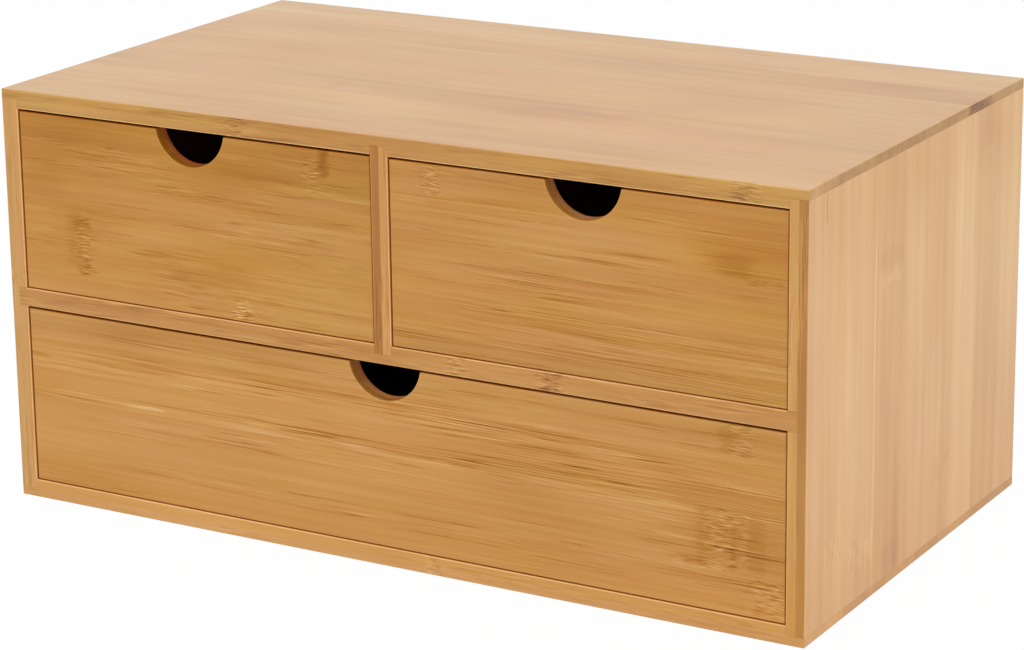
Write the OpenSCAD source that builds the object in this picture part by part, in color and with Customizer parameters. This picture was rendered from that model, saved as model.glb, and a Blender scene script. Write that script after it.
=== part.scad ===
// Desktop mini drawers in bamboo board: two small drawers side by side over one wide drawer.
// Millimetres. The origin is the middle of the base, +Z is up and the drawers open along -Y.

/* [Case] */
// Overall width of the case, side to side
case_w = 350; // [240:1:480]
// Overall depth of the case, front to back
case_d = 198; // [120:1:300]
// Overall height of the case
case_h = 169; // [140:1:260]
// Thickness of every case board
board_t = 7.5; // [6:0.1:10]
// Thickness of the tongues that lap over the ends of the side boards
tongue_t = 3.75; // [2.5:0.05:5]
// Depth of the housings that hold the shelf and the divider
housing_depth = 3.75; // [2:0.05:4.5]
// Space that each glued joint leaves for its glue
glue_line = 0.05; // [0.02:0.01:0.1]

/* [Bays] */
// Clear height of the wide bay at the bottom
lower_bay_h = 73.25; // [50:0.25:95]
// Distance of the divider to the right of the middle
divider_x = 0; // [-40:0.5:40]

/* [Back panel] */
// Thickness of the back panel
back_panel_t = 4; // [3:0.5:6]
// Distance from the rear edge of the case to the back panel
back_inset = 5; // [3:0.5:12]
// Depth of the groove that holds the back panel on all four sides
back_groove_depth = 3.5; // [2:0.25:4.5]

/* [Drawer fronts] */
// Thickness of the drawer fronts
front_t = 7; // [6:0.5:10]
// How far the fronts lie behind the front edge of the case
front_recess = 0.5; // [0:0.1:3]
// Gap at each side of a drawer
side_gap = 0.45; // [0.3:0.05:1.5]
// Gap above a drawer
top_gap = 1; // [0.5:0.1:2.5]
// Gap below a drawer front
bottom_gap = 0.3; // [0.2:0.1:1]

/* [Finger notches] */
// Radius of the finger notches
notch_r = 15.8; // [10:0.1:20]
// Height of a notch's centre above the top edge of its front
notch_rise = 2.4; // [0:0.1:5]

/* [Drawer boxes] */
// Thickness of the sides and back of a drawer
box_t = 6; // [5:0.5:8]
// Depth of the rabbets in a front that take the sides
front_rabbet = 3.5; // [3:0.25:5]
// Depth of the rabbets and grooves in the sides and back
box_joint = 3; // [2:0.25:3.5]
// Gap between the running edges of a drawer and the board that it slides on
running_gap = 0.1; // [0.05:0.05:0.3]
// Gap between a closed drawer and the back panel that stops it
stop_gap = 0.3; // [0.1:0.1:2]
// Thickness of a drawer's bottom
tray_t = 3; // [2:0.25:5]
// Height of a drawer's bottom above its running edges
tray_lift = 3; // [2:0.25:6]
// Space round a drawer's bottom in its grooves
tray_fit = 0.1; // [0.05:0.05:0.3]

/* [Edges] */
// Radius of the eased edges
arris_r = 0.5; // [0.3:0.1:1.2]

/* [Hidden] */
$fn = 96;
ARRIS_FN = 24;
SKIN = 0.01;

CASE_COLOUR = [0.86, 0.70, 0.53];
FRONT_COLOUR = [0.77, 0.57, 0.33];
BOX_COLOUR = [0.84, 0.69, 0.47];
TRAY_COLOUR = [0.88, 0.77, 0.58];

// Faces of the case
half_w = case_w / 2;
front_y = -case_d / 2;
rear_y = case_d / 2;
inner_x = half_w - board_t;
inner_top = case_h - board_t;

// The back panel, which also ends the shelf and the divider and stops the drawers
back_rear_y = rear_y - back_inset;
back_front_y = back_rear_y - back_panel_t;

// The shelf and the divider
shelf_under = board_t + lower_bay_h;
shelf_top = shelf_under + board_t;
divider_left = divider_x - board_t / 2;
divider_right = divider_x + board_t / 2;

// Each bay is its low corner and its high corner
LEFT_BAY = [[-inner_x, front_y, shelf_top], [divider_left, back_front_y, inner_top]];
RIGHT_BAY = [[divider_right, front_y, shelf_top], [inner_x, back_front_y, inner_top]];
WIDE_BAY = [[-inner_x, front_y, board_t], [inner_x, back_front_y, shelf_under]];

// Faces that the three drawers share
drawer_front_y = front_y + front_recess;
front_inner_y = drawer_front_y + front_t;
box_rear_y = back_front_y - stop_gap;
back_inner_y = box_rear_y - box_t;

// ---- Shared shapes ----

// A board between two opposite corners
module board(low, high) {
    translate(low) cube(high - low);
}

// The same board, larger by a fit on every side: the space that it needs in its neighbours
module space_for(low, high, fit) {
    grow = [fit, fit, fit];
    board(low - grow, high + grow);
}

// What a rounded edge takes off a square one. The edge is at the origin, and the wood lies
// towards side_u and side_v, each 1 or -1.
module arris_profile(side_u, side_v) {
    towards_wood = [side_u, side_v];
    difference() {
        translate(towards_wood * (arris_r - SKIN) / 2) square(arris_r + SKIN, center = true);
        translate(towards_wood * arris_r) circle(arris_r, $fn = ARRIS_FN);
    }
}

// Cutters that ease an edge which runs along X, Y or Z
module ease_x(x, y, z, side_y, side_z) {
    translate([x[0], y, z])
        rotate([90, 0, 90])
            linear_extrude(x[1] - x[0])
                arris_profile(side_y, side_z);
}

module ease_y(x, y, z, side_x, side_z) {
    translate([x, y[1], z])
        rotate([90, 0, 0])
            linear_extrude(y[1] - y[0])
                arris_profile(side_x, side_z);
}

module ease_z(x, y, z, side_x, side_y) {
    translate([x, y, z[0]])
        linear_extrude(z[1] - z[0])
            arris_profile(side_x, side_y);
}

// ---- Case ----

// A full-width board with a tongue at each end, such as the top. Its outer face is at outer_z,
// and inwards is -1 where the case lies below that face and 1 where it lies above.
module lapped_board(outer_z, inwards) {
    inner_z = outer_z + inwards * board_t;
    tongue_z = outer_z + inwards * tongue_t;
    shoulder_x = inner_x - glue_line;
    x_span = [-half_w, half_w];
    y_span = [front_y, rear_y];
    tongue_span = [min(outer_z, tongue_z), max(outer_z, tongue_z)];
    difference() {
        union() {
            board([-half_w, front_y, tongue_span[0]], [half_w, rear_y, tongue_span[1]]);
            board([-shoulder_x, front_y, min(outer_z, inner_z)],
                  [shoulder_x, rear_y, max(outer_z, inner_z)]);
        }
        back_panel_space();
        ease_x(x_span, front_y, outer_z, 1, inwards);
        ease_x(x_span, rear_y, outer_z, -1, inwards);
        for (side = [-1, 1]) {
            ease_y(side * half_w, y_span, outer_z, -side, inwards);
            ease_z(side * half_w, front_y, tongue_span, -side, 1);
            ease_z(side * half_w, rear_y, tongue_span, -side, -1);
        }
    }
}

module top_panel() {
    color(CASE_COLOUR)
        difference() {
            lapped_board(case_h, -1);
            divider_space();
            for (bay = [LEFT_BAY, RIGHT_BAY])
                ease_x([bay[0].x, bay[1].x], front_y, inner_top, 1, 1);
        }
}

module bottom_panel() {
    color(CASE_COLOUR)
        difference() {
            lapped_board(0, 1);
            ease_x([-inner_x, inner_x], front_y, board_t, 1, -1);
        }
}

// The right side board; the left one is its mirror image
module side_board() {
    z_span = [tongue_t + glue_line, case_h - tongue_t - glue_line];
    difference() {
        board([inner_x, front_y, z_span[0]], [half_w, rear_y, z_span[1]]);
        shelf_space();
        back_panel_space();
        ease_z(half_w, front_y, z_span, -1, 1);
        ease_z(half_w, rear_y, z_span, -1, -1);
        for (bay = [RIGHT_BAY, WIDE_BAY])
            ease_z(inner_x, front_y, [bay[0].z, bay[1].z], 1, 1);
    }
}

module left_side_panel() {
    color(CASE_COLOUR) mirror([1, 0, 0]) side_board();
}

module right_side_panel() {
    color(CASE_COLOUR) side_board();
}

// The shelf's ends stand in housings in the side boards
shelf_reach = inner_x + housing_depth - glue_line;
SHELF = [[-shelf_reach, front_y, shelf_under], [shelf_reach, back_front_y - glue_line, shelf_top]];

module shelf_space() {
    space_for(SHELF[0], SHELF[1], glue_line);
}

module middle_shelf() {
    color(CASE_COLOUR)
        difference() {
            board(SHELF[0], SHELF[1]);
            divider_space();
            ease_x([-inner_x, inner_x], front_y, shelf_under, 1, 1);
            for (bay = [LEFT_BAY, RIGHT_BAY])
                ease_x([bay[0].x, bay[1].x], front_y, shelf_top, 1, -1);
        }
}

// The divider's ends stand in housings in the top and in the shelf
DIVIDER = [
    [divider_left, front_y, shelf_top - housing_depth + glue_line],
    [divider_right, back_front_y - glue_line, inner_top + housing_depth - glue_line]
];

module divider_space() {
    space_for(DIVIDER[0], DIVIDER[1], glue_line);
}

module divider() {
    color(CASE_COLOUR)
        difference() {
            board(DIVIDER[0], DIVIDER[1]);
            ease_z(divider_left, front_y, [shelf_top, inner_top], 1, 1);
            ease_z(divider_right, front_y, [shelf_top, inner_top], -1, 1);
        }
}

// The back panel stands in one groove that runs round the case
back_reach = back_groove_depth - glue_line;
BACK = [
    [-inner_x - back_reach, back_front_y, board_t - back_reach],
    [inner_x + back_reach, back_rear_y, inner_top + back_reach]
];

module back_panel_space() {
    space_for(BACK[0], BACK[1], glue_line);
}

module back_panel() {
    color(CASE_COLOUR) board(BACK[0], BACK[1]);
}

// ---- Drawers ----
// Every module here takes the bay that the drawer fills.

// Outer faces of a drawer box
function box_left(bay) = bay[0].x + side_gap;
function box_right(bay) = bay[1].x - side_gap;
function box_low(bay) = bay[0].z + running_gap;
function box_top(bay) = bay[1].z - top_gap;

// The bottom panel of a drawer, which reaches into the grooves on its four sides
function tray(bay) =
    let (reach = box_joint - tray_fit, low_z = box_low(bay) + tray_lift)
    [
        [box_left(bay) + box_t - reach, front_inner_y - reach, low_z],
        [box_right(bay) - box_t + reach, back_inner_y + reach, low_z + tray_t]
    ];

// The groove for the bottom panel. It runs through to the ends of a side or back board, as a saw
// cuts it, and is covered there by the joint.
module tray_groove(bay, run_x, run_y) {
    panel = tray(bay);
    fit = [tray_fit, tray_fit, tray_fit];
    run = [run_x, run_y, 0];
    board(panel[0] - fit - run, panel[1] + fit + run);
}

// The half-round finger notch, cut through the front and eased on both faces
module finger_notch(bay) {
    middle_x = (bay[0].x + bay[1].x) / 2;
    translate([middle_x, drawer_front_y, box_top(bay) + notch_rise])
        rotate([-90, 0, 0]) {
            translate([0, 0, -SKIN]) cylinder(h = front_t + 2 * SKIN, r = notch_r);
            rotate_extrude() translate([notch_r, 0]) arris_profile(1, 1);
            rotate_extrude() translate([notch_r, front_t]) arris_profile(1, -1);
        }
}

// A front, rabbeted at both ends for the sides and grooved for the bottom panel
module drawer_front(bay) {
    x_span = [box_left(bay), box_right(bay)];
    z_span = [bay[0].z + bottom_gap, box_top(bay)];
    rabbet_y = front_inner_y - front_rabbet;
    panel = tray(bay);
    difference() {
        board([x_span[0], drawer_front_y, z_span[0]], [x_span[1], front_inner_y, z_span[1]]);
        board([x_span[0] - SKIN, rabbet_y, z_span[0] - SKIN],
              [x_span[0] + box_t + glue_line, front_inner_y + SKIN, z_span[1] + SKIN]);
        board([x_span[1] - box_t - glue_line, rabbet_y, z_span[0] - SKIN],
              [x_span[1] + SKIN, front_inner_y + SKIN, z_span[1] + SKIN]);
        space_for(panel[0], panel[1], tray_fit);
        finger_notch(bay);
        ease_x(x_span, drawer_front_y, z_span[1], 1, -1);
        ease_x(x_span, drawer_front_y, z_span[0], 1, 1);
        ease_z(x_span[0], drawer_front_y, z_span, 1, 1);
        ease_z(x_span[1], drawer_front_y, z_span, -1, 1);
    }
}

// A side, rabbeted at its rear end for the back. side is -1 for the left one and 1 for the right.
module drawer_side(bay, side) {
    outer_x = side < 0 ? box_left(bay) : box_right(bay);
    inner_side_x = outer_x - side * box_t;
    joint_x = inner_side_x + side * box_joint;
    low_x = min(outer_x, inner_side_x);
    y_span = [front_inner_y - front_rabbet + glue_line, box_rear_y];
    z_span = [box_low(bay), box_top(bay)];
    difference() {
        board([low_x, y_span[0], z_span[0]], [low_x + box_t, y_span[1], z_span[1]]);
        board([min(inner_side_x - side * SKIN, joint_x), back_inner_y - glue_line, z_span[0] - SKIN],
              [max(inner_side_x - side * SKIN, joint_x), box_rear_y + SKIN, z_span[1] + SKIN]);
        tray_groove(bay, 0, box_t);
        for (z = z_span)
            ease_y(outer_x, y_span, z, -side, z == z_span[0] ? 1 : -1);
        ease_y(inner_side_x, [front_inner_y, back_inner_y], z_span[1], side, -1);
        ease_z(outer_x, box_rear_y, z_span, -side, -1);
    }
}

// A back, between the sides in their rabbets
module drawer_back(bay) {
    reach = box_t - box_joint + glue_line;
    x_span = [box_left(bay) + reach, box_right(bay) - reach];
    inside_x = [box_left(bay) + box_t, box_right(bay) - box_t];
    z_span = [box_low(bay), box_top(bay)];
    difference() {
        board([x_span[0], back_inner_y, z_span[0]], [x_span[1], box_rear_y, z_span[1]]);
        tray_groove(bay, box_t, 0);
        ease_x(inside_x, back_inner_y, z_span[1], 1, -1);
        ease_x(x_span, box_rear_y, z_span[1], -1, -1);
        ease_x(x_span, box_rear_y, z_span[0], -1, 1);
    }
}

module drawer_bottom(bay) {
    panel = tray(bay);
    board(panel[0], panel[1]);
}

module left_drawer_front() color(FRONT_COLOUR) drawer_front(LEFT_BAY);
module left_drawer_left_side() color(BOX_COLOUR) drawer_side(LEFT_BAY, -1);
module left_drawer_right_side() color(BOX_COLOUR) drawer_side(LEFT_BAY, 1);
module left_drawer_back() color(BOX_COLOUR) drawer_back(LEFT_BAY);
module left_drawer_bottom() color(TRAY_COLOUR) drawer_bottom(LEFT_BAY);

module right_drawer_front() color(FRONT_COLOUR) drawer_front(RIGHT_BAY);
module right_drawer_left_side() color(BOX_COLOUR) drawer_side(RIGHT_BAY, -1);
module right_drawer_right_side() color(BOX_COLOUR) drawer_side(RIGHT_BAY, 1);
module right_drawer_back() color(BOX_COLOUR) drawer_back(RIGHT_BAY);
module right_drawer_bottom() color(TRAY_COLOUR) drawer_bottom(RIGHT_BAY);

module wide_drawer_front() color(FRONT_COLOUR) drawer_front(WIDE_BAY);
module wide_drawer_left_side() color(BOX_COLOUR) drawer_side(WIDE_BAY, -1);
module wide_drawer_right_side() color(BOX_COLOUR) drawer_side(WIDE_BAY, 1);
module wide_drawer_back() color(BOX_COLOUR) drawer_back(WIDE_BAY);
module wide_drawer_bottom() color(TRAY_COLOUR) drawer_bottom(WIDE_BAY);

// ---- What is drawn ----

top_panel();
bottom_panel();
left_side_panel();
right_side_panel();
middle_shelf();
divider();
back_panel();

left_drawer_front();
left_drawer_left_side();
left_drawer_right_side();
left_drawer_back();
left_drawer_bottom();

right_drawer_front();
right_drawer_left_side();
right_drawer_right_side();
right_drawer_back();
right_drawer_bottom();

wide_drawer_front();
wide_drawer_left_side();
wide_drawer_right_side();
wide_drawer_back();
wide_drawer_bottom();
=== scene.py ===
# %% [markdown]
# # Desktop mini drawers in honey bamboo
# A small desk case holds two drawers side by side over one wide drawer, and each front has
# a round finger notch instead of a knob. The boards come from the CAD model, which holds
# their real sizes and joints. This lesson gives them their wood, one board at a time, and
# it starts by loading that model as a fixed frame that nothing here moves.

# %% Load the fixed frame
import math
import bpy
import bmesh
from mathutils import Matrix, Vector


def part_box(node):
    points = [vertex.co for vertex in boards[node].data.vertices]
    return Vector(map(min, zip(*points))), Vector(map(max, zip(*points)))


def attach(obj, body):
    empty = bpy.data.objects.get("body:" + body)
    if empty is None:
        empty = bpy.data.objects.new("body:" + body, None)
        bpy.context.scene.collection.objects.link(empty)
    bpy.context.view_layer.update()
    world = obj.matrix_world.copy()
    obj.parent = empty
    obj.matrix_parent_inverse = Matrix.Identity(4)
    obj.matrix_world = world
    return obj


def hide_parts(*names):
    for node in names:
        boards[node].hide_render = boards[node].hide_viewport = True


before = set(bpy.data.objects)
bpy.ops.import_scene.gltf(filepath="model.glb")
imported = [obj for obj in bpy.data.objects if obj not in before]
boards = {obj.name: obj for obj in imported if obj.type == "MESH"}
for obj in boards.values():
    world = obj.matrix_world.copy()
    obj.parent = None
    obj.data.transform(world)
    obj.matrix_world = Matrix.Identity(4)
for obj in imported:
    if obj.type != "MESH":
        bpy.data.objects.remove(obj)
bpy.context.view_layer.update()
mm = 0.001


def new_object(name, data):
    """An object in the scene that holds a mesh, a lamp or a camera."""
    thing = bpy.data.objects.new(name, data)
    bpy.context.scene.collection.objects.link(thing)
    return thing


print("boards:", len(boards))

# %% [markdown]
# ## The camera
# A product shot of a small case is taken from a little over a metre away with a long lens,
# so that its edges hardly run together. The camera stands to the right of the case and
# looks down on it at sixteen degrees. The lens is shifted a little, as a view camera's is,
# which keeps the upright edges close to upright.

# %% Camera
picture_width, picture_height = 1024, 650
lens_centre = (530, 255)
sensor_width = 36.0
focal_length = 117.65
eye = Vector((0.6454, -1.1106, 0.4584))
tilt, roll, heading = 74.357, 0.641, 29.703

camera_data = bpy.data.cameras.new("camera")
camera_data.sensor_width = sensor_width
camera_data.lens = focal_length
camera_data.shift_x = (picture_width / 2 - lens_centre[0]) / picture_width
camera_data.shift_y = (lens_centre[1] - picture_height / 2) / picture_width
camera = new_object("camera", camera_data)
camera.location = eye
camera.rotation_euler = [math.radians(angle) for angle in (tilt, roll, heading)]
bpy.context.scene.camera = camera
bpy.context.scene.view_settings.view_transform = "Standard"
print("camera stands", round(eye.length, 2), "m from the case")

# %% [markdown]
# ## Wiring shader nodes
# A procedural wood is a long chain of nodes, and it is easier to read when each node is
# one short call. One tree at a time lies on the bench, and every helper adds to that one.
# `add_node` makes a node, fills its settings and wires its inputs. The helpers under it
# name the steps that come back again and again: a sum, a noise, a change of range and a
# mix. An effect that every board shares is built once as a node group, with named sockets,
# and each material then uses it with its own values.

# %% Node helpers
bench = {}


def put_on_bench(tree):
    """Makes a node tree the one that all the helpers add their nodes to."""
    tree.nodes.clear()
    bench["tree"] = tree
    return tree


def add_node(kind, inputs=None, **settings):
    """Adds a node, sets its settings, and fills or wires each of its inputs."""
    tree = bench["tree"]
    node = tree.nodes.new(kind)
    for name, value in settings.items():
        setattr(node, name, value)
    for name, value in (inputs or {}).items():
        if isinstance(value, bpy.types.NodeSocket):
            tree.links.new(value, node.inputs[name])
        else:
            node.inputs[name].default_value = value
    return node


def maths(operation, *values):
    """One number worked out from others: MULTIPLY, ADD, FLOOR and so on."""
    return add_node("ShaderNodeMath", dict(enumerate(values)), operation=operation).outputs[0]


def times(one, other):
    """The product of two numbers."""
    return maths("MULTIPLY", one, other)


def minus(one, other):
    """The first number without the second."""
    return maths("SUBTRACT", one, other)


def times_plus(one, other, start):
    """The product of two numbers, added to a third."""
    return maths("MULTIPLY_ADD", one, other, start)


def vector_maths(operation, *vectors):
    """One vector worked out from others, or one number for a dot product."""
    node = add_node("ShaderNodeVectorMath", dict(enumerate(vectors)), operation=operation)
    return node.outputs["Value" if operation == "DOT_PRODUCT" else "Vector"]


def combine(x=0.0, y=0.0, z=0.0):
    """A vector made of three numbers."""
    return add_node("ShaderNodeCombineXYZ", {"X": x, "Y": y, "Z": z}).outputs[0]


def separate(vector):
    """The three numbers of a vector, named X, Y and Z."""
    return add_node("ShaderNodeSeparateXYZ", {0: vector}).outputs


def fade(value, low, high, to_low=0.0, to_high=1.0):
    """A soft step: to_low where value is under low, to_high where it is over high."""
    inputs = {"Value": value, "From Min": low, "From Max": high, "To Min": to_low,
              "To Max": to_high}
    return add_node("ShaderNodeMapRange", inputs, interpolation_type="SMOOTHSTEP").outputs[0]


def noise(vector, detail=2.0, roughness=0.5):
    """A cloud of values around zero, from about -0.5 to 0.5, one cell to a unit of the vector."""
    inputs = {"Vector": vector, "Scale": 1.0, "Detail": detail, "Roughness": roughness}
    value = add_node("ShaderNodeTexNoise", inputs).outputs[0]
    return minus(value, 0.5)


def mix(kind, factor, first, second):
    """Goes from first to second as factor goes from 0 to 1. The kind is FLOAT, VECTOR or RGBA."""
    place = ("FLOAT", "VECTOR", "RGBA").index(kind)
    inputs = {0: factor, 2 + 2 * place: first, 3 + 2 * place: second}
    return add_node("ShaderNodeMix", inputs, data_type=kind).outputs[place]


print("node helpers are ready")

# %% Group helpers
FLOAT, VECTOR, COLOUR = "NodeSocketFloat", "NodeSocketVector", "NodeSocketColor"


def new_group(name, inputs, outputs):
    """Starts a node group from its inputs' defaults and its outputs' kinds, on the bench."""
    group = put_on_bench(bpy.data.node_groups.new(name, "ShaderNodeTree"))
    for socket_name, default in inputs.items():
        kind = FLOAT if isinstance(default, float) else VECTOR
        socket = group.interface.new_socket(socket_name, in_out="INPUT", socket_type=kind)
        socket.default_value = default
    for socket_name, kind in outputs.items():
        group.interface.new_socket(socket_name, in_out="OUTPUT", socket_type=kind)
    given = add_node("NodeGroupInput").outputs
    bench["result"] = add_node("NodeGroupOutput").inputs
    return group, given


def give(name, value):
    """Sends a value to one of the outputs of the group on the bench."""
    bench["tree"].links.new(value, bench["result"][name])


def use_group(inner, inputs):
    """Adds a node group with its inputs filled or wired, and returns its outputs."""
    return add_node("ShaderNodeGroup", inputs, node_tree=inner).outputs


print("group helpers are ready")

# %% [markdown]
# ## Studio light
# The light is plain and soft, as on a white table in a product studio: a pale surround
# lights everything evenly, a large lamp from the upper left gives the edges their shape,
# and its level is set so that a colour looks about as it is written. The floor is white
# and keeps a faint shadow. The surround is white where the camera or a glossy
# reflection sees it, because the satin lacquer mirrors it at a grazing angle.

# %% Floor and surround
white = (1, 1, 1, 1)
floor_white = (0.93, 0.93, 0.93, 1)
floor_plain_share = 0.97
room_white, room_strength = (1.0, 0.985, 0.965, 1), 0.66
floor_reach = 6.0
floor_drop = 0.0002


def start_nodes(holder):
    """Turns on the nodes of a material or a world, and puts them on the bench."""
    holder.use_nodes = True
    put_on_bench(holder.node_tree)


def seen_by_eye():
    """1 for what the camera sees, also in a reflection, and 0 for what lights the case."""
    path = add_node("ShaderNodeLightPath").outputs
    seen = maths("MAXIMUM", path["Is Camera Ray"], path["Is Glossy Ray"])
    return maths("MAXIMUM", seen, path["Is Transmission Ray"])


def put_out(kind, factor, first, second):
    """Mixes two shaders and sends them to the output."""
    mixed = add_node("ShaderNodeMixShader", {0: factor, 1: first.outputs[0], 2: second.outputs[0]})
    add_node(kind, {"Surface": mixed.outputs[0]})


floor_mesh = bmesh.new()
bmesh.ops.create_circle(floor_mesh, cap_ends=True, segments=64, radius=floor_reach)
bmesh.ops.translate(floor_mesh, verts=floor_mesh.verts, vec=(0, 0, -floor_drop))
floor_data = bpy.data.meshes.new("floor")
floor_mesh.to_mesh(floor_data)
floor_mesh.free()
floor = new_object("floor", floor_data)

floor_material = bpy.data.materials.new("white_floor")
floor_data.materials.append(floor_material)
start_nodes(floor_material)
seen = seen_by_eye()
takes_shadow = add_node("ShaderNodeBsdfDiffuse", {"Color": floor_white})
plain_white = add_node("ShaderNodeEmission", {"Color": white, "Strength": 1.0})
put_out("ShaderNodeOutputMaterial", times(seen, floor_plain_share), takes_shadow, plain_white)

surround = bpy.data.worlds.new("white_surround")
bpy.context.scene.world = surround
start_nodes(surround)
seen = seen_by_eye()
room_light = add_node("ShaderNodeBackground", {"Color": room_white, "Strength": room_strength})
white_view = add_node("ShaderNodeBackground", {"Color": white, "Strength": 1.0})
put_out("ShaderNodeOutputWorld", seen, room_light, white_view)
print("floor and surround are white")

# %% [markdown]
# ## Lamps
# Three soft boxes stand round the case: the key in front, one at the side and a weak one
# above. The side lamp would mirror itself in the lacquered top and bleach it when the case
# is seen from the other side, so it lights the wood but stays out of reflections.

# %% Lamps
case_middle = Vector((0, 0, 0.085))


def soft_lamp(name, place, size, power, in_gloss=True):
    """A square soft box at place, turned towards the middle of the case."""
    data = bpy.data.lights.new(name, "AREA")
    data.size = size
    data.energy = power
    lamp = new_object(name, data)
    lamp.location = place
    lamp.rotation_euler = (case_middle - Vector(place)).to_track_quat("-Z", "Y").to_euler()
    lamp.visible_glossy = in_gloss
    return lamp


lamps = [soft_lamp("key_lamp", (-0.55, -1.5, 1.35), size=1.1, power=13.0),
         soft_lamp("side_lamp", (1.7, -0.2, 0.8), size=1.1, power=9.3, in_gloss=False),
         soft_lamp("top_lamp", (0.1, 0.3, 1.55), size=1.3, power=3.8)]
print("lamps:", len(lamps))

# %% [markdown]
# ## How bamboo board is made
# Bamboo board is glued up from split and planed strips. Each strip is about two
# centimetres wide, its fibres run dead straight as fine light and dark streaks, and every
# quarter of a metre or so it has a knuckle, where the stalk was jointed, with a browner
# band and short scratchy marks. A picture of such wood would show a seam at each corner of
# a board. So the pattern is worked out in space, in a board's own millimetres: x along the
# grain, y across the board and z through its thickness. One group of nodes then serves
# every board, and its long sides and ends show the same wood running through.

# %% Strips
strips_apart = 900.0
joint_apart, joint_stagger = 260.0, 7.0
glue_half_wide, glue_stretch = 0.35, 50.0
glue_broken_below, glue_whole_above = 0.0, 0.12

# Splits a board into glued strips, and gives each one a tone and a place in the noise.
inputs = {"Board": (0, 0, 0), "Strip width": 22.0, "Strip shift": 0.0, "Seed": 0.0}
outputs = {"Fibre place": VECTOR, "Tone": FLOAT, "Glue line": FLOAT, "Knuckle place": VECTOR}
strips_group, given = new_group("bamboo_strips", inputs, outputs)
part = separate(given["Board"])
counted = minus(part["Y"], given["Strip shift"])
counted = maths("DIVIDE", counted, given["Strip width"])
key = combine(maths("FLOOR", counted), given["Seed"])
random = add_node("ShaderNodeTexWhiteNoise", {"Vector": key}, noise_dimensions="2D").outputs
give("Tone", minus(random["Value"], 0.5))
apart = vector_maths("MULTIPLY", random["Color"], (strips_apart,) * 3)
give("Fibre place", vector_maths("ADD", given["Board"], apart))

joints = maths("DIVIDE", part["X"], joint_apart)
joints = maths("ADD", joints, times(random["Value"], joint_stagger))
from_joint = minus(maths("FRACT", joints), 0.5)
from_joint = times(from_joint, joint_apart)
give("Knuckle place", combine(from_joint, part["Y"], part["Z"]))

from_line = times(maths("PINGPONG", counted, 0.5), given["Strip width"])
line = fade(from_line, 0.0, glue_half_wide, 1.0, 0.0)
along = times(part["X"], 1 / glue_stretch)
along = combine(along, maths("ROUND", counted), given["Seed"])
shown = fade(noise(along), glue_broken_below, glue_whole_above)
give("Glue line", times(line, shown))
print("group:", strips_group.name)

# %% [markdown]
# ## Fibres
# A streak is a noise that is drawn out along the grain, up to fifty times longer than it is
# thick. Real fibre has more than one scale, so several are laid over each other: hair-fine
# fibres and dashes, broader streaks, bands, and soft clouds of tone. The fine ones come in
# lively and quiet clusters. Hair-thin dark lines with a pale one beside them are the paths
# of single vessels. Each is drawn where a smooth noise crosses zero, which keeps it crisp.
# Every kind of fibre has its length along the grain and its thickness in millimetres.

# %% Fibre sizes
FIBRE_SIZES = {
    "wander": (140.0, 14.0), "cluster": (42.0, 6.0), "hair": (13.0, 0.34), "dash": (30.0, 0.62),
    "vessel": (60.0, 1.6), "vessel break": (14.0, 2.2), "streak": (70.0, 2.0), "band": (150.0, 5.0),
    "cloud": (60.0, 19.0), "shade": (110.0, 55.0), "ragged": (6.0, 2.0), "wavy": (34.0, 9.0),
    "crooked": (7.0, 6.0), "torn": (5.5, 0.58), "pore": (6.0, 0.6), "hue": (90.0, 14.0)}


def stretched(place, kind):
    """A place divided by the length along the grain and the thickness of one kind of fibre."""
    length, thickness = FIBRE_SIZES[kind]
    return vector_maths("DIVIDE", place, (length, thickness, thickness))


def fibre_noise(place, kind, detail=1.0, roughness=0.5):
    """A noise around zero, drawn out to the size of one kind of fibre."""
    return noise(stretched(place, kind), detail, roughness)


print("kinds of fibre:", len(FIBRE_SIZES))

# %% Fibres
wander_wide = 1.8
quiet, lively = 0.15, 1.7
quiet_below, lively_above = -0.10, 0.14
broken_below, whole_above = -0.08, 0.16
hair_share, dash_share, streak_share = 0.44, 0.24, 0.22
band_share, cloud_share = 0.5, 0.35
dark_half_wide, pale_half_wide, pale_beside, pale_strength = 0.055, 0.06, 0.08, 0.6
boards_apart = 500.0

# Hair-fine fibres, vessel lines, streaks, bands and soft shade of straight-grained bamboo.
inputs = {"Board": (0, 0, 0), "Fibre place": (0, 0, 0), "Seed": 0.0, "Slope": 0.0,
          "Fibre length": 1.0, "Line contrast": 0.1, "Clusters": 1.0, "Busy": 0.0}
outputs = {"Streaks": FLOAT, "Bands": FLOAT, "Shade": FLOAT, "Hair": FLOAT}
fibres_group, given = new_group("bamboo_fibres", inputs, outputs)
part = separate(given["Fibre place"])
lean = times(part["X"], given["Slope"])
wander = fibre_noise(given["Fibre place"], "wander")
lean = times_plus(wander, wander_wide, lean)
along = maths("DIVIDE", part["X"], given["Fibre length"])
place = combine(along, maths("ADD", part["Y"], lean), part["Z"])

cluster = fade(fibre_noise(place, "cluster"), quiet_below, lively_above, quiet, lively)
cluster = times_plus(cluster, given["Clusters"], given["Busy"])
hair = fibre_noise(place, "hair")
dash = fibre_noise(place, "dash")
hair = times_plus(dash, dash_share, times(hair, hair_share))
crossing = fibre_noise(place, "vessel", roughness=0.4)
dark_line = fade(maths("ABSOLUTE", crossing), 0.0, dark_half_wide, 1.0, 0.0)
beside = maths("ABSOLUTE", minus(crossing, pale_beside))
pale_line = fade(beside, 0.0, pale_half_wide, pale_strength, 0.0)
shown = fade(fibre_noise(place, "vessel break"), broken_below, whole_above)
line = times(minus(pale_line, dark_line), shown)
hair = times_plus(line, given["Line contrast"], hair)
hair = times(hair, cluster)
streak = fibre_noise(place, "streak")
give("Streaks", times_plus(streak, streak_share, hair))
give("Hair", hair)

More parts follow.
